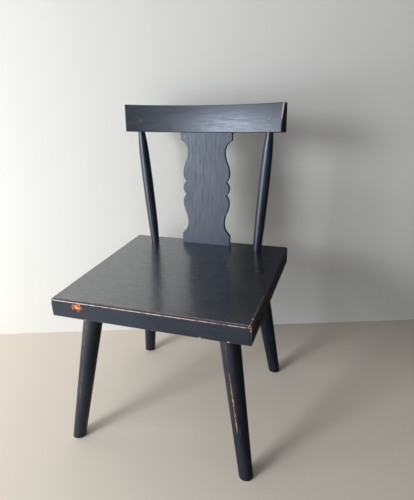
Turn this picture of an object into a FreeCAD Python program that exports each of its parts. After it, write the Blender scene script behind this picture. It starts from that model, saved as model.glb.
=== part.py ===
import FreeCAD, Part
import math
import os
from FreeCAD import Placement, Rotation, Vector

# Painted wooden side chair, in millimetres, +Z up and its front towards -Y.
# A thick plank seat carries four splayed legs underneath, and above it two
# turned spindles and a scalloped splat that hold a curved crest rail.
# While it is built, y = 0 is the middle of the seat. At the end the whole
# chair moves along Y, so that its origin lies on the floor under its middle.

# Seat plank
seat_width = 526.0
seat_depth = 499.0
seat_thickness = 51.0
seat_height = 448.0
seat_top_bevel = 4.5
seat_edge_bevel = 1.5

# Legs: how far the middle of a shoulder lies in from the seat's side and from
# its front or back, and the angles by which a leg splays sideways and rakes
# towards its own end of the seat, in degrees
front_leg_side_inset = 76.5
front_leg_end_inset = 77.9
front_leg_splay = 8.95
front_leg_rake = 10.59
back_leg_side_inset = 79.5
back_leg_end_inset = 78.0
back_leg_splay = 7.87
back_leg_rake = 5.48
leg_foot_diameter = 36.0
leg_top_diameter = 53.5
leg_foot_bevel = 2.5
leg_tenon_diameter = 32.0
leg_tenon_length = 38.0

# Crest rail: a board bent to a circle, thick at its lower edge, thin at its
# upper edge, with a front face that rolls back towards the top. Its lower
# edge lies above the seat by crest_rise, and behind it by crest_overhang
crest_radius = 546.0
crest_half_length = 247.5
crest_height = 80.5
crest_lower_thickness = 26.0
crest_middle_thickness = 23.0
crest_upper_thickness = 15.0
crest_rake = 8.6
crest_end_flare = 2.0
crest_rise = 351.0
crest_overhang = 12.2
crest_edge_bevel = 1.4

# Spindles: how far in from the seat's side and back, and from the rail's end,
# the radius at both ends and at three places along the body, and those places
# as shares of the body
spindle_side_inset = 88.4
spindle_back_inset = 49.5
spindle_crest_inset = 43.4
spindle_set_back = 1.0
spindle_lower_radius = 12.4
spindle_lower_swell = 15.3
spindle_middle_radius = 16.3
spindle_upper_swell = 15.0
spindle_upper_radius = 10.9
spindle_lower_share = 0.20
spindle_middle_share = 0.55
spindle_upper_share = 0.82
spindle_collar = 5.0
spindle_seat_tenon_diameter = 18.0
spindle_seat_tenon_length = 34.0
spindle_crest_tenon_diameter = 14.0
spindle_crest_tenon_length = 46.0

# Splat: how far its middle lies in from the seat's back, the half widths of its
# outline, and their distances along the splat from the middle of the small
# lobe, the same upwards and downwards
splat_back_inset = 27.1
splat_thickness = 14.0
splat_crest_set_forward = 0.6
splat_lobe_height = 181.7
splat_lobe_half_width = 76.5
splat_lobe_radius = 27.0
splat_notch_offset = 20.9
splat_notch_half_width = 2.2
splat_notch_depth = 1.5
splat_bulge_offset = 44.9
splat_bulge_half_width = 76.6
splat_bulge_radius = 34.0
splat_neck_offset = 113.0
splat_neck_half_width = 60.8
splat_block_offset = 149.3
splat_top_half_width = 83.5
splat_base_half_width = 80.5
splat_edge_bevel = 0.8
splat_tongue_thickness = 9.0
splat_tongue_inset = 14.0
splat_seat_tongue_length = 28.0
splat_crest_tongue_length = 20.0

# Pegs that pin the spindles in the crest rail
peg_diameter = 8.0
peg_height = 38.0
peg_sunk = 0.4
peg_end_wall = 3.5

# Clearances and small sizes that all joints share: the glue line round a tenon,
# the room past its end, the chamfer of its end, and how near counts as touching
glue_line = 0.1
end_room = 1.0
tenon_chamfer = 1.5
touching = 0.01

# Values worked out from the sizes above
seat_underside = seat_height - seat_thickness
crest_lean = math.radians(crest_rake)
crest_up = Vector(0, math.sin(crest_lean), math.cos(crest_lean))
crest_back = Vector(0, math.cos(crest_lean), -math.sin(crest_lean))
crest_foot = Vector(0, seat_depth / 2 + crest_overhang, seat_height + crest_rise)
crest_centre = crest_foot - crest_back * crest_radius
crest_end_angle = math.degrees(math.asin(crest_half_length / crest_radius))
reach = 2 * (seat_height + seat_width + seat_depth)


def turned_to(shape, start, direction):
    """Carry a shape made along +Z from the origin to start, along direction."""
    turn = Rotation(Vector(0, 0, 1), direction)
    shape.Placement = Placement(start, turn).multiply(shape.Placement)
    return shape


def half_space(point, normal):
    """A large block that fills the side of a plane that its normal points to."""
    block = Part.makeBox(reach, reach, reach, Vector(-reach / 2, -reach / 2, 0))
    return turned_to(block, point, normal)


def rod(start, end, radius):
    """A round rod between two points."""
    axis = end - start
    return Part.makeCylinder(radius, axis.Length, start, axis)


def tenon_rod(start, end, radius):
    """A round rod with a chamfer at its far end."""
    length = (end - start).Length
    outline = [Vector(0, 0, 0), Vector(radius, 0, 0), Vector(radius, 0, length - tenon_chamfer),
               Vector(radius - tenon_chamfer, 0, length), Vector(0, 0, length), Vector(0, 0, 0)]
    face = Part.Face(Part.makePolygon(outline))
    turned = face.revolve(Vector(0, 0, 0), Vector(0, 0, 1), 360)
    return turned_to(turned, start, (end - start).normalize())


def edges_where(shape, test):
    """The edges of a shape whose middle point passes a test."""
    chosen = []
    for edge in shape.Edges:
        middle = edge.valueAt((edge.FirstParameter + edge.LastParameter) / 2)
        if test(middle):
            chosen.append(edge)
    return chosen


def tangent_arc(start, heading, end):
    """An arc that leaves start along heading and runs to end, and its heading there."""
    chord = end - start
    along = chord.dot(heading)
    side = chord - heading * along
    radius = chord.Length ** 2 / (2 * side.Length)
    centre = start + side.normalize() * radius
    middle = centre + ((start + end) * 0.5 - centre).normalize() * radius
    final = chord * (2 * chord.dot(heading) / chord.Length ** 2) - heading
    return Part.Arc(start, middle, end).toShape(), final.normalize()


def leg_points(side, front):
    """The middle of a leg's foot and of its shoulder."""
    end = -1 if front else 1
    side_inset = front_leg_side_inset if front else back_leg_side_inset
    end_inset = front_leg_end_inset if front else back_leg_end_inset
    splay = math.radians(front_leg_splay if front else back_leg_splay)
    rake = math.radians(front_leg_rake if front else back_leg_rake)
    top_x = seat_width / 2 - side_inset
    top_y = seat_depth / 2 - end_inset
    foot_x = top_x + math.tan(splay) * seat_underside
    foot_y = top_y + math.tan(rake) * seat_underside
    return Vector(side * foot_x, end * foot_y, 0), Vector(side * top_x, end * top_y, seat_underside)


def make_leg(side, front):
    """A tapered round leg, cut level at the floor and under the seat, with a tenon."""
    foot, shoulder = leg_points(side, front)
    axis = (shoulder - foot).normalize()
    length = (shoulder - foot).Length
    slope = (leg_top_diameter - leg_foot_diameter) / 2 / length
    spare = leg_top_diameter / 2
    low = leg_foot_diameter / 2 - slope * spare
    high = leg_top_diameter / 2 + slope * spare
    body = Part.makeCone(low, high, length + 2 * spare, foot - axis * spare, axis)
    body = body.cut(half_space(Vector(0, 0, 0), Vector(0, 0, -1)))
    body = body.cut(half_space(Vector(0, 0, seat_underside), Vector(0, 0, 1)))
    rim = edges_where(body, lambda point: point.z < touching)
    body = body.makeChamfer(leg_foot_bevel, rim)
    root = shoulder - axis * leg_tenon_diameter / 2
    tenon = tenon_rod(root, shoulder + axis * leg_tenon_length, leg_tenon_diameter / 2)
    return body.fuse(tenon).removeSplitter()


def leg_socket(side, front):
    """The blind hole in the seat's underside for a leg's tenon."""
    foot, shoulder = leg_points(side, front)
    axis = (shoulder - foot).normalize()
    start = shoulder - axis * leg_tenon_diameter / 2
    end = shoulder + axis * (leg_tenon_length + end_room)
    return rod(start, end, leg_tenon_diameter / 2 + glue_line)


def on_crest_underside(x, set_back=0.0):
    """The point of the crest rail's lower edge at x, behind its middle line by set_back."""
    out = crest_radius + set_back
    return crest_centre + crest_back * math.sqrt(out ** 2 - x ** 2) + Vector(x, 0, 0)


def make_crest_blank():
    """The crest rail before its sockets are bored: a tapered section turned round its centre."""
    lower = crest_lower_thickness / 2
    upper = crest_upper_thickness / 2
    back_middle = (lower + upper) / 2
    front_middle = crest_middle_thickness - back_middle
    front_low = Vector(0, crest_radius - lower, 0)
    front_mid = Vector(0, crest_radius - front_middle, crest_height / 2)
    front_top = Vector(0, crest_radius - upper, crest_height)
    back_top = Vector(0, crest_radius + upper, crest_height)
    back_low = Vector(0, crest_radius + lower, 0)
    outline = Part.Wire([Part.Arc(front_low, front_mid, front_top).toShape(),
                         Part.makeLine(front_top, back_top),
                         Part.makeLine(back_top, back_low),
                         Part.makeLine(back_low, front_low)])
    section = Part.Face(outline)
    spare_angle = 3.0
    start_angle = crest_end_angle + spare_angle
    section.rotate(Vector(0, 0, 0), Vector(0, 0, 1), start_angle)
    blank = section.revolve(Vector(0, 0, 0), Vector(0, 0, 1), -2 * start_angle)
    flare = math.radians(crest_end_flare)
    for side in (-1, 1):
        turn = math.radians(crest_end_angle)
        end_point = Vector(side * crest_radius * math.sin(turn), crest_radius * math.cos(turn), 0)
        outward = Vector(side * math.cos(turn), -math.sin(turn), 0)
        normal = outward * math.cos(flare) - Vector(0, 0, math.sin(flare))
        blank = blank.cut(half_space(end_point, normal))
    blank = blank.makeChamfer(crest_edge_bevel, blank.Edges)
    blank.Placement = Placement(crest_centre, Rotation(Vector(1, 0, 0), -crest_rake))
    return blank


def spindle_points(side):
    """Where a spindle's axis leaves the seat and enters the crest rail."""
    low_x = seat_width / 2 - spindle_side_inset
    high_x = crest_half_length - spindle_crest_inset
    low = Vector(side * low_x, seat_depth / 2 - spindle_back_inset, seat_height)
    return low, on_crest_underside(side * high_x, spindle_set_back)


def make_spindle(side, peg_hole):
    """A turned spindle, slim at both ends, with a round tenon at each."""
    low, high = spindle_points(side)
    axis = (high - low).normalize()
    length = (high - low).Length
    collar = spindle_collar
    middle = Vector(spindle_middle_radius, 0, spindle_middle_share * length)
    lower_end = Vector(spindle_lower_radius, 0, collar)
    upper_end = Vector(spindle_upper_radius, 0, length - collar)
    lower_swell = Vector(spindle_lower_swell, 0, spindle_lower_share * length)
    upper_swell = Vector(spindle_upper_swell, 0, spindle_upper_share * length)
    arc_1, heading_1 = tangent_arc(middle, Vector(0, 0, -1), lower_swell)
    arc_2 = tangent_arc(lower_swell, heading_1, lower_end)[0]
    arc_3, heading_3 = tangent_arc(middle, Vector(0, 0, 1), upper_swell)
    arc_4 = tangent_arc(upper_swell, heading_3, upper_end)[0]
    low_rim = lower_end - Vector(0, 0, 2 * collar)
    high_rim = upper_end + Vector(0, 0, 2 * collar)
    bottom = Vector(0, 0, low_rim.z)
    top = Vector(0, 0, high_rim.z)
    outline = Part.Wire([Part.makeLine(bottom, low_rim), Part.makeLine(low_rim, lower_end),
                         arc_2, arc_1, arc_3, arc_4,
                         Part.makeLine(upper_end, high_rim), Part.makeLine(high_rim, top),
                         Part.makeLine(top, bottom)])
    body = Part.Face(outline).revolve(Vector(0, 0, 0), Vector(0, 0, 1), 360)
    turned_to(body, low, axis)
    body = body.cut(half_space(Vector(0, 0, seat_height), Vector(0, 0, -1)))
    body = body.cut(half_space(crest_foot, crest_up))
    lower_tenon = tenon_rod(low + axis * spindle_lower_radius, low - axis * spindle_seat_tenon_length,
                            spindle_seat_tenon_diameter / 2)
    upper_tenon = tenon_rod(high - axis * spindle_upper_radius, high + axis * spindle_crest_tenon_length,
                            spindle_crest_tenon_diameter / 2)
    return body.fuse([lower_tenon, upper_tenon]).removeSplitter().cut(peg_hole)


def spindle_sockets(side):
    """The blind holes for a spindle's tenons, in the seat and in the crest rail."""
    low, high = spindle_points(side)
    axis = (high - low).normalize()
    seat_hole = rod(low + axis * spindle_lower_radius, low - axis * (spindle_seat_tenon_length + end_room),
                    spindle_seat_tenon_diameter / 2 + glue_line)
    crest_hole = rod(high - axis * spindle_upper_radius,
                     high + axis * (spindle_crest_tenon_length + end_room),
                     spindle_crest_tenon_diameter / 2 + glue_line)
    return seat_hole, crest_hole


def peg_line(side):
    """The point where a peg's axis meets the spindle's axis, and the way out to the front."""
    low, high = spindle_points(side)
    axis = (high - low).normalize()
    centre = high + axis * peg_height
    inward = crest_centre + crest_up * (centre - crest_centre).dot(crest_up) - centre
    return centre, inward.normalize()


def distance_out(solid, start, direction):
    """How far a point inside a solid is from its surface along a direction."""
    line = Part.makeLine(start, start + direction * 4 * crest_lower_thickness)
    return solid.common(line).Length


def peg_hole(side, blank):
    """The hole for a peg, from outside the rail's front to a thin wall at its back."""
    centre, outward = peg_line(side)
    back = centre - outward * (distance_out(blank, centre, outward * -1) - peg_end_wall)
    return rod(centre + outward * 2 * crest_lower_thickness, back, peg_diameter / 2 + glue_line)


def make_peg(side, blank):
    """A round peg through the rail and the spindle's tenon, its head a little below the face."""
    centre, outward = peg_line(side)
    head = centre + outward * (distance_out(blank, centre, outward) - peg_sunk)
    tail = centre - outward * (distance_out(blank, centre, outward * -1) - peg_end_wall - end_room / 2)
    return rod(head, tail, peg_diameter / 2)


def splat_line():
    """The splat's foot on the seat, the unit vector up along it, and its length to the rail."""
    foot = Vector(0, seat_depth / 2 - splat_back_inset, seat_height)
    head = crest_foot - crest_back * splat_crest_set_forward
    return foot, (head - foot).normalize(), (head - foot).Length


def arc_bulge(start, end, radius):
    """The middle point of an arc of a radius, on the left of the way from start to end."""
    chord = end - start
    side = Vector(-chord.y, chord.x, 0).normalize()
    height = abs(radius) - math.sqrt(radius ** 2 - chord.Length ** 2 / 4)
    return (start + end) * 0.5 + side * math.copysign(height, radius)


def splat_half_profile(up_sign, end, block_half_width):
    """The right-hand outline from the lobe's middle outwards to one end of the splat.

    Points are (half width, distance from the lobe's middle along the splat).
    """
    lobe_centre = splat_lobe_half_width - splat_lobe_radius
    notch_start = splat_notch_offset - splat_notch_half_width
    notch_end = splat_notch_offset + splat_notch_half_width
    lobe_x = lobe_centre + math.sqrt(splat_lobe_radius ** 2 - notch_start ** 2)
    bulge_centre = splat_bulge_half_width - splat_bulge_radius
    bulge_run = splat_bulge_offset - notch_end
    bulge_x = bulge_centre + math.sqrt(splat_bulge_radius ** 2 - bulge_run ** 2)
    notch_mouth = math.hypot(notch_end - notch_start, bulge_x - lobe_x) / 2
    notch_radius = (notch_mouth ** 2 + splat_notch_depth ** 2) / (2 * splat_notch_depth)
    swing = splat_neck_offset - splat_bulge_offset
    drop = splat_bulge_half_width - splat_neck_half_width
    turn_x = splat_bulge_half_width - drop / 2
    turn_y = splat_bulge_offset + swing / 2
    wave_radius = (swing ** 2 + drop ** 2) / (4 * drop)
    rise = splat_block_offset - splat_neck_offset
    spread = block_half_width - splat_neck_half_width
    cove_radius = (rise ** 2 + spread ** 2) / (2 * spread)
    corners = [Vector(splat_lobe_half_width, 0, 0), Vector(lobe_x, notch_start, 0),
               Vector(bulge_x, notch_end, 0), Vector(splat_bulge_half_width, splat_bulge_offset, 0),
               Vector(turn_x, turn_y, 0), Vector(splat_neck_half_width, splat_neck_offset, 0),
               Vector(block_half_width, splat_block_offset, 0), Vector(block_half_width, end, 0)]
    radii = [-splat_lobe_radius, notch_radius, -splat_bulge_radius, -wave_radius,
             wave_radius, cove_radius, None]
    edges = []
    for start, stop, radius in zip(corners, corners[1:], radii):
        flat = [Vector(v.x, v.y * up_sign, 0) for v in (start, stop)]
        if radius is None:
            edges.append(Part.makeLine(flat[0], flat[1]))
            continue
        middle = arc_bulge(start, stop, radius)
        edges.append(Part.Arc(flat[0], Vector(middle.x, middle.y * up_sign, 0), flat[1]).toShape())
    return edges


def splat_local(shape):
    """Carry a shape from the splat's flat layout (x across, y up from the lobe) to its place."""
    foot, up, length = splat_line()
    lean = math.degrees(math.atan2(up.y, up.z))
    place = Placement(foot + up * splat_lobe_height, Rotation(Vector(1, 0, 0), 90 - lean))
    shape.Placement = place.multiply(shape.Placement)
    return shape


def splat_tongues(grow, extra):
    """The tongues at the lower and upper end of the splat, grown all round and longer by extra."""
    length = splat_line()[2]
    bars = []
    ends = [(-splat_lobe_height - splat_seat_tongue_length - extra, -splat_lobe_height + splat_thickness,
             splat_base_half_width),
            (length - splat_lobe_height - splat_thickness,
             length - splat_lobe_height + splat_crest_tongue_length + extra, splat_top_half_width)]
    for start, stop, half_width in ends:
        half = half_width - splat_tongue_inset + grow
        thick = splat_tongue_thickness + 2 * grow
        bar = Part.makeBox(2 * half, stop - start, thick, Vector(-half, start, -thick / 2))
        bars.append(splat_local(bar))
    return bars


def make_splat():
    """The flat scalloped splat, cut level on the seat and to the rail's lower edge, with tongues."""
    length = splat_line()[2]
    spare = splat_thickness
    upper_end = length - splat_lobe_height + spare
    lower_end = splat_lobe_height + spare
    upper = splat_half_profile(1, upper_end, splat_top_half_width)
    lower = splat_half_profile(-1, lower_end, splat_base_half_width)
    right = upper + lower
    left = [edge.mirror(Vector(0, 0, 0), Vector(1, 0, 0)) for edge in right]
    top = Part.makeLine(Vector(-splat_top_half_width, upper_end, 0),
                        Vector(splat_top_half_width, upper_end, 0))
    bottom = Part.makeLine(Vector(-splat_base_half_width, -lower_end, 0),
                           Vector(splat_base_half_width, -lower_end, 0))
    outline = Part.Wire(Part.__sortEdges__(right + left + [top, bottom]))
    board = Part.Face(outline).extrude(Vector(0, 0, splat_thickness))
    board.translate(Vector(0, 0, -splat_thickness / 2))

    def is_rim(point):
        on_a_face = abs(abs(point.z) - splat_thickness / 2) < touching
        return on_a_face and -lower_end < point.y < upper_end

    board = board.makeChamfer(splat_edge_bevel, edges_where(board, is_rim))
    splat_local(board)
    board = board.cut(half_space(Vector(0, 0, seat_height), Vector(0, 0, -1)))
    board = board.cut(half_space(crest_foot, crest_up))
    return board.fuse(splat_tongues(0.0, 0.0)).removeSplitter()


def make_seat(holes):
    """The plank seat with a bevel round its top, bored and mortised."""
    plank = Part.makeBox(seat_width, seat_depth, seat_thickness,
                         Vector(-seat_width / 2, -seat_depth / 2, seat_underside))
    bevel_foot = seat_height - seat_top_bevel
    upper_edges = edges_where(plank, lambda point: point.z > seat_height - touching)
    plank = plank.makeChamfer(seat_top_bevel, upper_edges)
    other_edges = edges_where(plank, lambda point: point.z < bevel_foot - touching)
    plank = plank.makeChamfer(seat_edge_bevel, other_edges)
    return plank.cut(holes)


def build():
    """Every piece of the chair by name, still with y = 0 at the middle of the seat."""
    sides = {"left": -1, "right": 1}
    blank = make_crest_blank()
    seat_mortise, crest_mortise = splat_tongues(glue_line, end_room)
    seat_holes = [seat_mortise]
    crest_holes = [crest_mortise]
    pieces = {}
    for side_name, side in sides.items():
        for row_name, front in (("front", True), ("back", False)):
            pieces["leg_" + row_name + "_" + side_name] = make_leg(side, front)
            seat_holes.append(leg_socket(side, front))
        hole = peg_hole(side, blank)
        seat_hole, crest_hole = spindle_sockets(side)
        seat_holes.append(seat_hole)
        crest_holes += [crest_hole, hole]
        pieces["spindle_" + side_name] = make_spindle(side, hole)
        pieces["crest_peg_" + side_name] = make_peg(side, blank)
    pieces["splat"] = make_splat()
    pieces["crest_rail"] = blank.cut(crest_holes)
    pieces["seat"] = make_seat(seat_holes)
    return {name: piece.Solids[0] for name, piece in pieces.items()}


os.makedirs("parts", exist_ok=True)
pieces = build()
whole = Part.makeCompound(list(pieces.values())).optimalBoundingBox(False, False)
to_middle = Vector(0, -(whole.YMin + whole.YMax) / 2, 0)
for name, piece in sorted(pieces.items()):
    piece.translate(to_middle)
    piece.exportStep("parts/" + name + ".step")
    box = piece.optimalBoundingBox(False, False)
    print(name, "valid", piece.isValid(), "faces", len(piece.Faces), "cm3 %.1f" % (piece.Volume / 1000))
    print("  x %.1f to %.1f" % (box.XMin, box.XMax), "y %.1f to %.1f" % (box.YMin, box.YMax),
          "z %.1f to %.1f" % (box.ZMin, box.ZMax))
print("overall %.1f x %.1f x %.1f" % (whole.XLength, whole.YLength, whole.ZLength))
print("moved along Y by %.2f" % to_middle.y)
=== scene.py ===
# %% [markdown]
# # Finishing a painted plank-seat chair
#
# The chair comes ready made from the construction model: eleven pieces of
# wood that already have their real size and place. What is left to do here is
# its look. The real chair was painted by hand in a dark slate blue over an
# older brown stain, and years of use have rubbed the paint through along its
# edges. Every piece keeps its shape, and gets a paint that is built from
# nodes, with brush streaks that follow its length and wear where a hand, a
# trouser leg or a shoe rubs.

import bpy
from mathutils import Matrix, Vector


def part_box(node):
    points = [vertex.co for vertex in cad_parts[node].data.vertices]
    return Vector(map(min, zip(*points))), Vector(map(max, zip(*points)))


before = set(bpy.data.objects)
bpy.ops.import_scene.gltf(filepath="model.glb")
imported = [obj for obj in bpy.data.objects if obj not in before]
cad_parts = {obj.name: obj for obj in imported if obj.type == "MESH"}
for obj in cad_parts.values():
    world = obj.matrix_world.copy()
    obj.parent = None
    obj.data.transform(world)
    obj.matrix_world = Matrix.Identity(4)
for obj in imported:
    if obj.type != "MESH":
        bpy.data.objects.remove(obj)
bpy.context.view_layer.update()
print("pieces:", ", ".join(sorted(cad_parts)))

# %% Modules
import math

import bmesh
import bpy
from mathutils import Matrix, Vector

# %% [markdown]
# ## The camera
#
# The photograph looks down on the chair from its front right. Where the camera
# stood was found by matching the corners of the seat, the feet and the ends of
# the crest rail to the picture. A camera can be turned with Euler angles, but
# three unit vectors are easier to check: one points back out of the lens, one
# to its right and one up. They are the columns of the camera's matrix.

# %% Place the camera
PHOTO_WIDTH = 414
CAMERA_PLACE = Vector((0.4493, -1.0684, 0.9574))
CAMERA_AZIMUTH = math.radians(19.28)
CAMERA_ELEVATION = math.radians(21.48)
CAMERA_ROLL = math.radians(-2.03)
FOCAL_PIXELS = 437.82
SENSOR_WIDTH = 36.0


def direction_of(azimuth, elevation):
    """The unit vector from the chair towards an azimuth, counted from its front, and an elevation."""
    return Vector((math.sin(azimuth) * math.cos(elevation),
                   -math.cos(azimuth) * math.cos(elevation), math.sin(elevation)))


def camera_axes(azimuth, elevation, roll):
    """The camera's right, up and backward unit vectors."""
    back = direction_of(azimuth, elevation)
    level = (-back).cross(Vector((0, 0, 1))).normalized()
    upright = level.cross(-back)
    right = level * math.cos(roll) + upright * math.sin(roll)
    up = upright * math.cos(roll) - level * math.sin(roll)
    return right, up, back


def make_camera():
    """A camera at the photograph's place, with the photograph's field of view."""
    lens = bpy.data.cameras.new("camera")
    lens.sensor_fit = "HORIZONTAL"
    lens.sensor_width = SENSOR_WIDTH
    lens.lens = FOCAL_PIXELS / PHOTO_WIDTH * SENSOR_WIDTH
    camera = bpy.data.objects.new("camera", lens)
    turn = Matrix(camera_axes(CAMERA_AZIMUTH, CAMERA_ELEVATION, CAMERA_ROLL)).transposed()
    camera.matrix_world = Matrix.Translation(CAMERA_PLACE) @ turn.to_4x4()
    bpy.context.scene.collection.objects.link(camera)
    bpy.context.scene.camera = camera
    return camera


camera = make_camera()
print("lens %.1f mm" % camera.data.lens)

# %% [markdown]
# ## Building materials from nodes
#
# A material is a small graph, and writing it node by node soon hides what it
# means. A few short helpers make each step one readable line: `add` makes any
# node and joins its inputs, and the rest are the handful of sums that wear and
# brush marks need. Every value they give back is a socket, so they nest.

# %% Helpers for material graphs


def add(tree, kind, inputs, **settings):
    """Add a node, give it its settings, and link or set each input by name or number."""
    node = tree.nodes.new(kind)
    for key, value in settings.items():
        setattr(node, key, value)
    for key, value in inputs.items():
        if isinstance(value, bpy.types.NodeSocket):
            tree.links.new(value, node.inputs[key])
        else:
            node.inputs[key].default_value = value
    return node


def maths(tree, operation, *values):
    """One sum, with up to three inputs."""
    return add(tree, "ShaderNodeMath", dict(enumerate(values)), operation=operation).outputs[0]


def span(tree, value, start, end, low=0.0, high=1.0):
    """Carry a value from start..end to low..high with a soft start and stop, and hold it outside."""
    inputs = {"Value": value, "From Min": start, "From Max": end, "To Min": low, "To Max": high}
    return add(tree, "ShaderNodeMapRange", inputs, interpolation_type="SMOOTHSTEP").outputs[0]


def ridge(tree, value, middle, width):
    """One at the middle, falling straight to nought at a width to each side."""
    off = maths(tree, "ABSOLUTE", maths(tree, "SUBTRACT", value, middle))
    share = maths(tree, "DIVIDE", off, width)
    return add(tree, "ShaderNodeMath", {0: 1.0, 1: share}, operation="SUBTRACT", use_clamp=True).outputs[0]


def largest(tree, *values):
    """The largest of several values."""
    result = values[0]
    for value in values[1:]:
        result = maths(tree, "MAXIMUM", result, value)
    return result


def noise(tree, vector, scale, detail, roughness):
    """Soft random values from 0 to 1."""
    inputs = {"Vector": vector, "Scale": scale, "Detail": detail, "Roughness": roughness}
    return add(tree, "ShaderNodeTexNoise", inputs).outputs["Fac"]


def blend(tree, share, first, second):
    """A colour between two colours."""
    node = add(tree, "ShaderNodeMix", {"Factor": share}, data_type="RGBA")
    for key, value in (("A", first), ("B", second)):
        socket = [s for s in node.inputs if s.name == key and s.type == "RGBA"][0]
        if isinstance(value, bpy.types.NodeSocket):
            tree.links.new(value, socket)
        else:
            socket.default_value = value
    return [s for s in node.outputs if s.type == "RGBA"][0]


def in_piece(tree, place=(0, 0, 0), turn=(0, 0, 0), lengths=(1, 1, 1)):
    """Object coordinates seen from a place and turn inside the piece, counted in the given lengths."""
    coordinates = add(tree, "ShaderNodeTexCoord", {}).outputs["Object"]
    inputs = {"Vector": coordinates, "Location": place, "Rotation": turn, "Scale": lengths}
    return add(tree, "ShaderNodeMapping", inputs, vector_type="TEXTURE").outputs[0]


def parts_of(tree, vector):
    """The x, y and z of a vector."""
    return add(tree, "ShaderNodeSeparateXYZ", {"Vector": vector}).outputs[:3]


def measure(tree, operation, first, second):
    """One number from two vectors, such as their distance or their dot product."""
    node = add(tree, "ShaderNodeVectorMath", {0: first, 1: second}, operation=operation)
    return node.outputs["Value"]


# %% [markdown]
# ## The paint
#
# Hand-brushed satin paint isn't one colour. The brush leaves long streaks of
# slightly thicker and thinner paint, which show as changes of gloss more than
# of colour, and as fine furrows. They run along each piece, so the noise they
# come from is stretched along the piece's own length. Under the paint lie an
# old orange-brown stain and the pale wood. One number, the wear, decides which
# of the three shows: a little wear uncovers the stain, more uncovers the wood,
# so each worn place gets a brown rim by itself. The paint's edge is also a
# small step down in the surface.
#
# Each kind of piece was rubbed down in its own way, so each has its own
# finish: how smooth and how rough its brush marks are, and how strongly it
# reflects. A faint blue tint in the reflections turns the nearly black paint
# to slate in the window's light. The seat's top is polished by use, and gets a
# clear coat. A picture of real paint could be wrapped round the pieces
# instead, but noise has no seams and lets the wear follow the chair's edges.

# %% Colours and depths of the finish
PAINT = (0.009, 0.012, 0.019, 1)
PAINT_THIN = (0.019, 0.023, 0.034, 1)
PAINT_RUBBED = (0.022, 0.024, 0.030, 1)
STAIN = (0.20, 0.075, 0.028, 1)
STAIN_LIGHT = (0.36, 0.14, 0.05, 1)
BARE_WOOD = (0.80, 0.71, 0.66, 1)
BARE_GRAIN = (0.60, 0.47, 0.39, 1)
OLD_RED = (0.52, 0.12, 0.06, 1)
OLD_YELLOW = (0.76, 0.40, 0.12, 1)
PAINT_GLINT = (0.80, 0.86, 1.0, 1)
PAINT_DEPTH = 0.00025
STREAK_DEPTH = 0.00002
MILLIMETRE = 0.001

# Across and along the brush, in metres.
STREAK_SIZE = (0.0035, 0.070)
HAIR_SIZE = (0.0012, 0.025)

# The scales of the even noises, and how much of two of them the wear takes in.
CLOUD_SCALE = 9.0
RAGGED_SCALE = 150.0
COARSE_SCALE = 28.0
RAGGED_SHARE = 0.55
COARSE_SHARE = 0.45

# From where to where each look takes over.
STAIN_FROM = (0.46, 0.54)
WOOD_FROM = (0.66, 0.74)
THIN_FROM = (0.40, 0.62)
GLOSS_FROM = (0.35, 0.65)
UPWARD_FROM = (0.5, 0.95)
STAIN_ROUGHER = 0.3
STREAK_SHARE = 0.6

# The smoothest and the roughest of the brush marks, and the index of refraction.
SEAT_FINISH = (0.40, 0.55, 1.45)
CREST_FINISH = (0.38, 0.56, 1.95)
SPLAT_FINISH = (0.44, 0.62, 1.80)
SPINDLE_FINISH = (0.30, 0.44, 1.65)
LEG_FINISH = (0.28, 0.62, 1.45)
BURNISH_ROUGHNESS = 0.20
BURNISH_IOR = 2.3
print("brush streaks %.1f mm wide and %.0f mm long" % tuple(size / MILLIMETRE for size in STREAK_SIZE))

# %% A painted material


def brush_noise(tree, grain, size):
    """Noise stretched along the brush; a grain with a depth takes the piece as flat from front to back."""
    place, turn, depth = grain
    across, length = size
    return noise(tree, in_piece(tree, place, turn, (across, depth or across, length)), 1.0, 3.0, 0.6)


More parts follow.
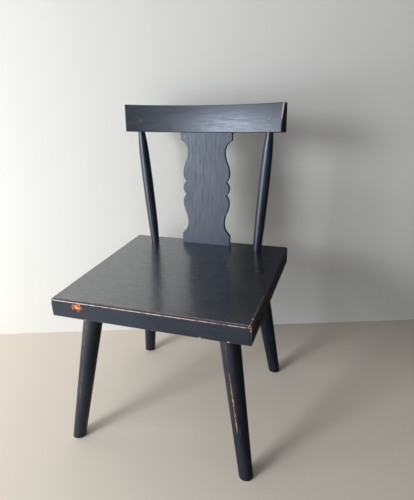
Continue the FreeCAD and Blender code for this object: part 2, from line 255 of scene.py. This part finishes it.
def painted_wood(name, grain, wear_of, finish, thin_paint=PAINT_THIN, burnished=False):
    """Worn brushed paint on a piece whose length lies as grain says; wear_of gives its wear."""
    material = bpy.data.materials.new(name)
    material.use_nodes = True
    tree = material.node_tree
    shader = tree.nodes["Principled BSDF"]
    smooth, rough, index = finish
    plain = in_piece(tree)
    streaks = brush_noise(tree, grain, STREAK_SIZE)
    hairs = brush_noise(tree, grain, HAIR_SIZE)
    clouds = noise(tree, plain, CLOUD_SCALE, 3.0, 0.5)
    ragged = maths(tree, "SUBTRACT", noise(tree, plain, RAGGED_SCALE, 5.0, 0.62), 0.5)
    coarse = maths(tree, "SUBTRACT", noise(tree, plain, COARSE_SCALE, 3.0, 0.5), 0.5)
    rubbed, old_coat, dent = wear_of(tree, plain)
    wear = maths(tree, "ADD", rubbed, maths(tree, "MULTIPLY", ragged, RAGGED_SHARE))
    wear = maths(tree, "ADD", wear, maths(tree, "MULTIPLY", coarse, COARSE_SHARE))
    stain_shows = span(tree, wear, *STAIN_FROM)
    wood_shows = span(tree, wear, *WOOD_FROM)
    thin = maths(tree, "MULTIPLY", maths(tree, "ADD", streaks, clouds), 0.5)
    paint = blend(tree, span(tree, thin, *THIN_FROM), PAINT, thin_paint)
    stain = blend(tree, old_coat, blend(tree, hairs, STAIN, STAIN_LIGHT), OLD_RED)
    wood = blend(tree, old_coat, blend(tree, hairs, BARE_WOOD, BARE_GRAIN), OLD_YELLOW)
    colour = blend(tree, wood_shows, blend(tree, stain_shows, paint, stain), wood)
    brushed = maths(tree, "ADD", maths(tree, "MULTIPLY", streaks, 0.5), maths(tree, "MULTIPLY", hairs, 0.5))
    gloss = span(tree, brushed, *GLOSS_FROM, smooth, rough)
    roughness = maths(tree, "ADD", gloss, maths(tree, "MULTIPLY", stain_shows, STAIN_ROUGHER))
    height = maths(tree, "ADD", hairs, maths(tree, "MULTIPLY", streaks, STREAK_SHARE))
    height = maths(tree, "MULTIPLY", height, STREAK_DEPTH)
    height = maths(tree, "SUBTRACT", height, maths(tree, "MULTIPLY", stain_shows, PAINT_DEPTH))
    height = maths(tree, "SUBTRACT", height, dent)
    bump = add(tree, "ShaderNodeBump", {"Strength": 1.0, "Distance": 1.0, "Height": height})
    shader.inputs["IOR"].default_value = index
    shader.inputs["Specular Tint"].default_value = PAINT_GLINT
    if burnished:
        normal = add(tree, "ShaderNodeNewGeometry", {}).outputs["True Normal"]
        intact = maths(tree, "SUBTRACT", 1.0, stain_shows)
        upward = span(tree, parts_of(tree, normal)[2], *UPWARD_FROM)
        tree.links.new(maths(tree, "MULTIPLY", upward, intact), shader.inputs["Coat Weight"])
        shader.inputs["Coat Roughness"].default_value = BURNISH_ROUGHNESS
        shader.inputs["Coat IOR"].default_value = BURNISH_IOR
    tree.links.new(colour, shader.inputs["Base Color"])
    tree.links.new(roughness, shader.inputs["Roughness"])
    tree.links.new(bump.outputs["Normal"], shader.inputs["Normal"])
    return material


# %% [markdown]
# ## Where the seat is worn
#
# Across an edge, the depth below one face minus the distance in from the other
# is a number that grows steadily from face to bevel to face. That makes an
# arris, the sharp line where two faces meet, a simple value to test for: the
# seat's upper bevel is 4.5 mm wide, so its two arrises lie at minus and plus
# 4.5 mm. On the real seat the front bevel's lower arris is rubbed to the wood
# for its whole length, and the one above it to the stain. The knocks at the
# corners and along the lower edge are spots, each with its own place and size.
#
# Near the left end of the front a chip shows an older coat of red and yellow
# under the blue, and a knot in the top has sunk to a dent. Both could be cut
# into the mesh, but they are less than a millimetre deep and hardly change an
# outline, so the material alone carries them.

# %% The seat's wear
SEAT_LOW, SEAT_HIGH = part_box("seat")
SEAT_BEVEL = 4.5 * MILLIMETRE
PATCH_PLACE = (-0.1850, SEAT_LOW.y, 0.4312)
PATCH_LENGTHS = (0.030, 0.022, 0.020)
KNOT_PLACE = (0.2263, 0.0044, SEAT_HIGH.z)
KNOT_RADIUS = 12.0 * MILLIMETRE
DENT_DEPTH = 0.8 * MILLIMETRE
ARRIS_REACH = 2.5 * SEAT_BEVEL
PATCH_TOP = 1.2 * SEAT_BEVEL

# Where the front and side arrises change from their first strength to their last.
FRONT_ARRIS_FROM = (-0.10, 0.26)
FRONT_ARRIS_WEAR = (1.45, 0.90)
SIDE_ARRIS_FROM = (-0.24, 0.05)
SIDE_ARRIS_WEAR = (0.95, 0.55)

# The noises that break the front line and chip the patch, and how far they change its strength.
NOISE_FROM = (0.3, 0.7)
BREAK_SCALE = 90.0
BREAKS = (0.62, 1.18)
CHIP_SCALE = 150.0
CHIPS = (0.45, 1.25)
OLD_COAT_FROM = (0.2, 0.3)

# The knocks: a place, a radius in millimetres and a strength.
SEAT_MARKS = [
    ((-0.166, SEAT_LOW.y, SEAT_LOW.z), 11.0, 0.95),
    ((0.020, SEAT_LOW.y, SEAT_LOW.z), 9.0, 0.80),
    ((0.140, SEAT_LOW.y, SEAT_LOW.z), 7.0, 1.20),
    ((0.209, SEAT_LOW.y, SEAT_LOW.z), 10.0, 0.95),
    ((0.258, -0.2253, 0.4465), 6.0, 1.15),
    ((0.262, SEAT_LOW.y, 0.4360), 5.0, 1.10),
    ((-0.262, SEAT_LOW.y, 0.4380), 6.0, 0.95),
    ((SEAT_HIGH.x, -0.236, 0.430), 13.0, 0.80),
    ((SEAT_HIGH.x, -0.160, 0.438), 10.0, 0.70),
    ((SEAT_HIGH.x, -0.090, 0.444), 9.0, 0.75),
]
print("seat front at y %.4f, top at z %.4f" % (SEAT_LOW.y, SEAT_HIGH.z))


def arris(tree, first, second, middle, width):
    """One along an arris, from the depths below the two faces beside it, and nought away from it."""
    across = maths(tree, "SUBTRACT", first, second)
    near = maths(tree, "LESS_THAN", maths(tree, "ADD", first, second), ARRIS_REACH)
    return maths(tree, "MULTIPLY", ridge(tree, across, middle, width), near)


def spot(tree, plain, place, radius):
    """One at a place, falling to nought at a radius."""
    return ridge(tree, measure(tree, "DISTANCE", plain, place), 0.0, radius)


def spots(tree, plain, marks):
    """The wear of a list of spots, each a place, a radius and a strength."""
    return largest(tree, *[maths(tree, "MULTIPLY", spot(tree, plain, place, radius * MILLIMETRE), strength)
                           for place, radius, strength in marks])


def seat_wear(tree, plain):
    """Worn arrises round the seat, most of all along its front, and knocks at its edges."""
    x, y, z = parts_of(tree, plain)
    from_front = maths(tree, "SUBTRACT", y, SEAT_LOW.y)
    from_back = maths(tree, "SUBTRACT", SEAT_HIGH.y, y)
    from_side = maths(tree, "SUBTRACT", SEAT_HIGH.x, maths(tree, "ABSOLUTE", x))
    below_top = maths(tree, "SUBTRACT", SEAT_HIGH.z, z)
    above_bottom = maths(tree, "SUBTRACT", z, SEAT_LOW.z)
    broken = span(tree, noise(tree, plain, BREAK_SCALE, 3.0, 0.6), *NOISE_FROM, *BREAKS)
    to_the_right = span(tree, x, *FRONT_ARRIS_FROM, *FRONT_ARRIS_WEAR)
    front_line = maths(tree, "MULTIPLY", to_the_right, broken)
    to_the_front = span(tree, y, *SIDE_ARRIS_FROM, *SIDE_ARRIS_WEAR)
    # The depths below two faces, the place across their arris, its width in millimetres, its strength.
    lines = [
        (from_front, below_top, -SEAT_BEVEL, 2.0, front_line),
        (from_front, below_top, SEAT_BEVEL, 1.3, 0.78),
        (from_side, below_top, SEAT_BEVEL, 1.2, to_the_front),
        (from_side, below_top, -SEAT_BEVEL, 1.2, to_the_front),
        (from_back, below_top, SEAT_BEVEL, 1.2, 0.60),
        (from_front, above_bottom, 0.0, 2.4, 0.66),
        (from_side, above_bottom, 0.0, 2.0, 0.55),
        (from_front, from_side, 0.0, 2.6, 0.80),
    ]
    worn = [maths(tree, "MULTIPLY", arris(tree, first, second, middle, width * MILLIMETRE), strength)
            for first, second, middle, width, strength in lines]
    uneven = span(tree, noise(tree, plain, CHIP_SCALE, 3.0, 0.6), *NOISE_FROM, *CHIPS)
    patch = spot(tree, in_piece(tree, PATCH_PLACE, (0, 0, 0), PATCH_LENGTHS), (0, 0, 0), 1.0)
    patch = maths(tree, "MULTIPLY", patch, uneven)
    old_coat = maths(tree, "MULTIPLY", span(tree, patch, *OLD_COAT_FROM),
                     maths(tree, "GREATER_THAN", below_top, PATCH_TOP))
    dent = span(tree, spot(tree, plain, KNOT_PLACE, KNOT_RADIUS), 0.0, 0.6, 0.0, DENT_DEPTH)
    return largest(tree, patch, spots(tree, plain, SEAT_MARKS), *worn), old_coat, dent


# %% [markdown]
# ## Wear on the other pieces
#
# The splat's edges are eased by narrow chamfers. A chamfer faces halfway
# between the two faces beside it, so the direction in which the surface faces
# finds it, with no need to know where it lies. The legs are rubbed in long
# streaks. On a round leg a streak is a direction too: the part of the surface
# that faces it, between two heights. A streak that drifts round the leg as it
# rises gets a direction that changes with height. The feet are scuffed, most
# of all round their rims.
#
# The crest rail's front end arris bends with the roll of its front, so its
# depth is written as a curve of its height. Where a peg pins each spindle,
# the paint has sunk into the joint round it and leaves a faint ring.

# %% Wear of the splat, the legs and the crest rail
PEG_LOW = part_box("crest_peg_right")[0]
PEG_RADIUS = 4.0 * MILLIMETRE
PEG_PLACE = (PEG_LOW.x + PEG_RADIUS, PEG_LOW.y, PEG_LOW.z + PEG_RADIUS)
JOINT_WIDTH = 2.0 * MILLIMETRE
JOINT_DEPTH = 0.5 * MILLIMETRE

# How far a chamfer faces to the front or the back, give or take, and how worn it is.
CHAMFER_FACING = 0.7
CHAMFER_SPREAD = 0.3
CHAMFER_WEAR = 0.36

# The heights over which a foot's rim and its scuffs fade, and how worn they are.
RIM_HEIGHT = 7.0 * MILLIMETRE
RIM_WEAR = 0.80
SCUFF_HEIGHTS = (0.015, 0.140)
SCUFF_WEAR = 0.27

# The crest rail's front end arris: its y at a height, its slope there and its bend, its width,
# how far out it lies at least, and the heights between which its wear grows.
END_HEIGHT = 0.810
END_PLACE = 0.1838
END_SLOPE = 0.0867
END_BEND = 1.445
END_WIDTH = 0.60 * MILLIMETRE
END_FROM = 0.236
END_HEIGHTS = (0.822, 0.872)
END_WEAR = (0.50, 1.05)
LEFT_END_WEAR = 0.35
print("right peg at", [round(v, 4) for v in PEG_PLACE])


def towards(tree, direction, output="Normal"):
    """How squarely the surface faces a direction, from -1 to 1."""
    normal = add(tree, "ShaderNodeNewGeometry", {}).outputs[output]
    return measure(tree, "DOT_PRODUCT", normal, direction)


def splat_wear(tree, plain):
    """A little wear on the chamfers round the front and the back."""
    chamfer = maths(tree, "ABSOLUTE", towards(tree, (0, 1, 0), "True Normal"))
    near = ridge(tree, chamfer, CHAMFER_FACING, CHAMFER_SPREAD)
    return maths(tree, "MULTIPLY", near, CHAMFER_WEAR), 0.0, 0.0


def streak_wear(streaks):
    """Long rubbed streaks on a leg, each an azimuth, two heights, a width, a strength and a drift."""
    def wear(tree, plain):
        height = parts_of(tree, plain)[2]
        worn = [maths(tree, "MULTIPLY", ridge(tree, height, 0.0, RIM_HEIGHT), RIM_WEAR),
                span(tree, height, *SCUFF_HEIGHTS, SCUFF_WEAR, 0.0)]
        for azimuth, low, high, width, strength, drift in streaks:
            angle = math.radians(azimuth)
            off = towards(tree, (math.cos(angle), math.sin(angle), 0))
            moved = maths(tree, "MULTIPLY_ADD", height, drift, -drift * (low + high) / 2)
            near = ridge(tree, maths(tree, "ADD", off, moved), 0.0, width)
            front = maths(tree, "GREATER_THAN", towards(tree, (math.sin(angle), -math.cos(angle), 0)), 0.0)
            length = ridge(tree, height, (low + high) / 2, (high - low) / 2)
            ends = span(tree, length, 0.0, 0.3, 0.0, strength)
            worn.append(maths(tree, "MULTIPLY", maths(tree, "MULTIPLY", near, front), ends))
        return largest(tree, *worn), 0.0, 0.0
    return wear


def crest_wear(tree, plain):
    """The front arris of each end, rubbed to the wood at the right, and the joints round the pegs."""
    x, y, z = parts_of(tree, plain)
    rise = maths(tree, "SUBTRACT", z, END_HEIGHT)
    slope = maths(tree, "MULTIPLY_ADD", rise, END_BEND, END_SLOPE)
    edge = maths(tree, "MULTIPLY_ADD", rise, slope, END_PLACE)
    near = ridge(tree, maths(tree, "SUBTRACT", y, edge), 0.0, END_WIDTH)
    at_right = maths(tree, "GREATER_THAN", x, END_FROM)
    at_left = maths(tree, "LESS_THAN", x, -END_FROM)
    side = maths(tree, "ADD", maths(tree, "MULTIPLY", at_right, span(tree, z, *END_HEIGHTS, *END_WEAR)),
                 maths(tree, "MULTIPLY", at_left, LEFT_END_WEAR))
    mirrored = add(tree, "ShaderNodeCombineXYZ", {0: maths(tree, "ABSOLUTE", x), 1: y, 2: z}).outputs[0]
    away = measure(tree, "DISTANCE", mirrored, PEG_PLACE)
    joint = maths(tree, "MULTIPLY", ridge(tree, away, PEG_RADIUS, JOINT_WIDTH), JOINT_DEPTH)
    return maths(tree, "MULTIPLY", near, side), 0.0, joint


def no_wear(tree, plain):
    """Only what the random part of the wear uncovers."""
    return 0.0, 0.0, 0.0


# %% [markdown]
# ## Which way the brush went
#
# A painter draws the brush along a piece, so every piece needs a frame whose z
# axis is its own length. Legs and spindles lean, and their frame is measured
# on the model: the middle of their section at the foot and at the top. The
# crest rail and the splat are broad and bent or leaning. There the noise
# ignores the depth, or it would cut their faces at an angle in zigzags.

# %% The way each piece's length lies


def centre_at(node, height):
    """The middle of a node's section at a height, from the vertices nearest to it."""
    points = [v.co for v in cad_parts[node].data.vertices]
    nearest = min(abs(p.z - height) for p in points)
    ring = [p for p in points if abs(p.z - height) < nearest + MILLIMETRE]
    low = Vector([min(p[i] for p in ring) for i in range(3)])
    high = Vector([max(p[i] for p in ring) for i in range(3)])
    return (low + high) / 2


def along(start, end):
    """A grain frame at start whose z axis points to end."""
    return tuple(start), tuple((end - start).to_track_quat("Z", "Y").to_euler()), None


ACROSS = ((0, 0, 0), (0, math.pi / 2, 0), None)
ACROSS_FRONT = ((0, 0, 0), (0, math.pi / 2, 0), 1.0)
UPRIGHT_FRONT = ((0, 0, 0), (0, 0, 0), 1.0)
SPINDLE_TOP = 0.79

# %% Paint every piece
# An azimuth in degrees, two heights, a width, a strength and a drift.
LEG_STREAKS = {
    "leg_front_right": [(-9.0, 0.115, 0.310, 0.21, 0.68, 0.6), (-26.0, 0.230, 0.390, 0.10, 0.50, 0.0),
                        (-12.0, 0.300, 0.400, 0.10, 0.52, 0.0), (14.0, 0.060, 0.160, 0.07, 0.52, 0.0)],
    "leg_front_left": [(-20.0, 0.230, 0.390, 0.12, 0.58, 0.3), (-5.0, 0.110, 0.270, 0.12, 0.60, 0.2),
                       (-34.0, 0.120, 0.300, 0.08, 0.46, 0.0)],
    "leg_back_right": [(30.0, 0.100, 0.220, 0.06, 0.52, 0.0)],
    "leg_back_left": [(10.0, 0.150, 0.260, 0.06, 0.52, 0.0)],
}


def give(node, material):
    """Put a material into a node's slots."""
    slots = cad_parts[node].data.materials
    slots.clear()
    slots.append(material)


give("seat", painted_wood("seat_paint", ACROSS, seat_wear, SEAT_FINISH, burnished=True))
give("crest_rail", painted_wood("crest_paint", ACROSS_FRONT, crest_wear, CREST_FINISH))
give("splat", painted_wood("splat_paint", UPRIGHT_FRONT, splat_wear, SPLAT_FINISH))
for leg, streaks in LEG_STREAKS.items():
    foot = centre_at(leg, 0.0)
    top = centre_at(leg, SEAT_LOW.z)
    print(leg, "runs from", [round(v, 3) for v in foot], "to", [round(v, 3) for v in top])
    give(leg, painted_wood(leg + "_paint", along(foot, top), streak_wear(streaks), LEG_FINISH,
                           PAINT_RUBBED))
for side in ("left", "right"):
    spindle = "spindle_" + side
    foot = centre_at(spindle, SEAT_HIGH.z)
    top = centre_at(spindle, SPINDLE_TOP)
    give(spindle, painted_wood(spindle + "_paint", along(foot, top), no_wear, SPINDLE_FINISH))
    give("crest_peg_" + side, painted_wood("peg_paint_" + side, ACROSS_FRONT, no_wear, CREST_FINISH))
print("painted pieces:", sum(bool(node.data.materials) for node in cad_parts.values()))

# %% [markdown]
# ## The room
#
# The chair stands on a plain pale floor in front of a plain pale wall. The
# wall is square to the camera and close behind, because the seat's sheen in
# the photograph is the wall's reflection. That sheen fades to the right, and
# the right sides of the legs are nearly black, because the real room is darker
# there. A second wall could shade it, but would show. Here the floor and the
# wall grow dim to the right for every ray but the camera's own. Seen from
# behind the wall is clear, so that the chair can also be looked at from there.

# %% Floor and wall
FLOOR_COLOUR = (0.79, 0.70, 0.60, 1)
WALL_COLOUR = (0.75, 0.73, 0.70, 1)
WALL_DISTANCE = 0.41
STAGE_REACH = 6.0
FLOOR_FAR_SIDE = (-0.40, 0.25)
WALL_FAR_SIDE = (0.00, 0.25)
FAR_SHARE = 0.26
ROOM_ROUGHNESS = 0.9
ASIDE = Vector((math.cos(CAMERA_AZIMUTH), math.sin(CAMERA_AZIMUTH), 0))
FORWARD = Vector((-math.sin(CAMERA_AZIMUTH), math.cos(CAMERA_AZIMUTH), 0))


def flat_piece(name, size, place, colour, far_side, clear_behind=False):
    """A plain matt square that isn't part of the chair, dim at the right for all but the camera."""
    mesh = bpy.data.meshes.new(name)
    square = bmesh.new()
    bmesh.ops.create_grid(square, x_segments=1, y_segments=1, size=size, matrix=place)
    square.to_mesh(mesh)
    square.free()
    plane = bpy.data.objects.new(name, mesh)
    bpy.context.scene.collection.objects.link(plane)
    material = bpy.data.materials.new(name)
    material.use_nodes = True
    tree = material.node_tree
    shader = tree.nodes["Principled BSDF"]
    shader.inputs["Roughness"].default_value = ROOM_ROUGHNESS
    aside = measure(tree, "DOT_PRODUCT", in_piece(tree), tuple(ASIDE))
    seen = add(tree, "ShaderNodeLightPath", {}).outputs["Is Camera Ray"]
    share = largest(tree, span(tree, aside, *far_side, 1.0, FAR_SHARE), seen)
    tree.links.new(blend(tree, share, (0, 0, 0, 1), colour), shader.inputs["Base Color"])
    if clear_behind:
        behind = add(tree, "ShaderNodeNewGeometry", {}).outputs["Backfacing"]
        clear = add(tree, "ShaderNodeBsdfTransparent", {}).outputs[0]
        mixed = add(tree, "ShaderNodeMixShader", {0: behind, 1: shader.outputs[0], 2: clear})
        tree.links.new(mixed.outputs[0], tree.nodes["Material Output"].inputs["Surface"])
    mesh.materials.append(material)
    print(name, "made, %.0f m each way" % size)


def make_room():
    """The floor, and the wall square to the camera's azimuth."""
    flat_piece("floor", STAGE_REACH, Matrix.Identity(4), FLOOR_COLOUR, FLOOR_FAR_SIDE)
    turn = Matrix((ASIDE, Vector((0, 0, 1)), -FORWARD)).transposed().to_4x4()
    place = Matrix.Translation(FORWARD * WALL_DISTANCE + Vector((0, 0, STAGE_REACH))) @ turn
    flat_piece("wall", STAGE_REACH, place, WALL_COLOUR, WALL_FAR_SIDE, clear_behind=True)


make_room()

# %% [markdown]
# ## The light
#
# The shadows of the legs run back and to the right, so the light comes from a
# window at the front left. One large area lamp stands for the whole window,
# and gives the broad soft highlight on the crest rail. A smaller one, a little
# higher, stands for its brightest pane, and gives the legs their shadows. The
# sides that face away are nearly black in the photograph, so the world that
# fills the shadows is bright above and to the left, and dim to the right.

# %% Lamps and world
WINDOW_AZIMUTH = math.radians(-40)
WINDOW_ELEVATION = math.radians(4)
WINDOW_SIZE = (2.3, 1.7)
WINDOW_POWER = 80.0
PANE_AZIMUTH = math.radians(-33)
PANE_ELEVATION = math.radians(22)
PANE_SIZE = (0.8, 0.7)
PANE_POWER = 40.0
LAMP_DISTANCE = 3.0
WINDOW_COLOUR = (0.90, 0.96, 1.0)
BRIGHT_SIDE = (-0.90, -0.35, 0.25)
WORLD_DARK = 0.01
WORLD_BRIGHT = 0.45
WORLD_SEEN = 0.85
WORLD_COLOUR = (0.97, 0.98, 1.0, 1)
LOOK_AT = Vector((0, 0, 0.45))


def make_lamp(name, azimuth, elevation, size, power):
    """A soft lamp in a direction, aimed at the chair."""
    light = bpy.data.lights.new(name, "AREA")
    light.shape = "RECTANGLE"
    light.size, light.size_y = size
    light.energy = power
    light.color = WINDOW_COLOUR
    lamp = bpy.data.objects.new(name, light)
    direction = direction_of(azimuth, elevation)
    lamp.location = LOOK_AT + direction * LAMP_DISTANCE
    lamp.rotation_euler = direction.to_track_quat("Z", "Y").to_euler()
    bpy.context.scene.collection.objects.link(lamp)
    print(name, "at", [round(v, 2) for v in lamp.location])


def make_world():
    """A pale world, bright above and to the left, and even where the camera looks straight at it."""
    world = bpy.data.worlds.new("world")
    world.use_nodes = True
    bpy.context.scene.world = world
    tree = world.node_tree
    direction = add(tree, "ShaderNodeTexCoord", {}).outputs["Generated"]
    side = measure(tree, "DOT_PRODUCT", direction, BRIGHT_SIDE)
    lit = span(tree, side, -1.0, 1.0, WORLD_DARK, WORLD_BRIGHT)
    seen = add(tree, "ShaderNodeLightPath", {}).outputs["Is Camera Ray"]
    strength = add(tree, "ShaderNodeMix", {0: seen, 2: lit, 3: WORLD_SEEN}).outputs[0]
    back = tree.nodes["Background"]
    back.inputs["Color"].default_value = WORLD_COLOUR
    tree.links.new(strength, back.inputs["Strength"])


make_lamp("window", WINDOW_AZIMUTH, WINDOW_ELEVATION, WINDOW_SIZE, WINDOW_POWER)
make_lamp("brighter_pane", PANE_AZIMUTH, PANE_ELEVATION, PANE_SIZE, PANE_POWER)
make_world()
bpy.context.scene.view_settings.view_transform = "Standard"
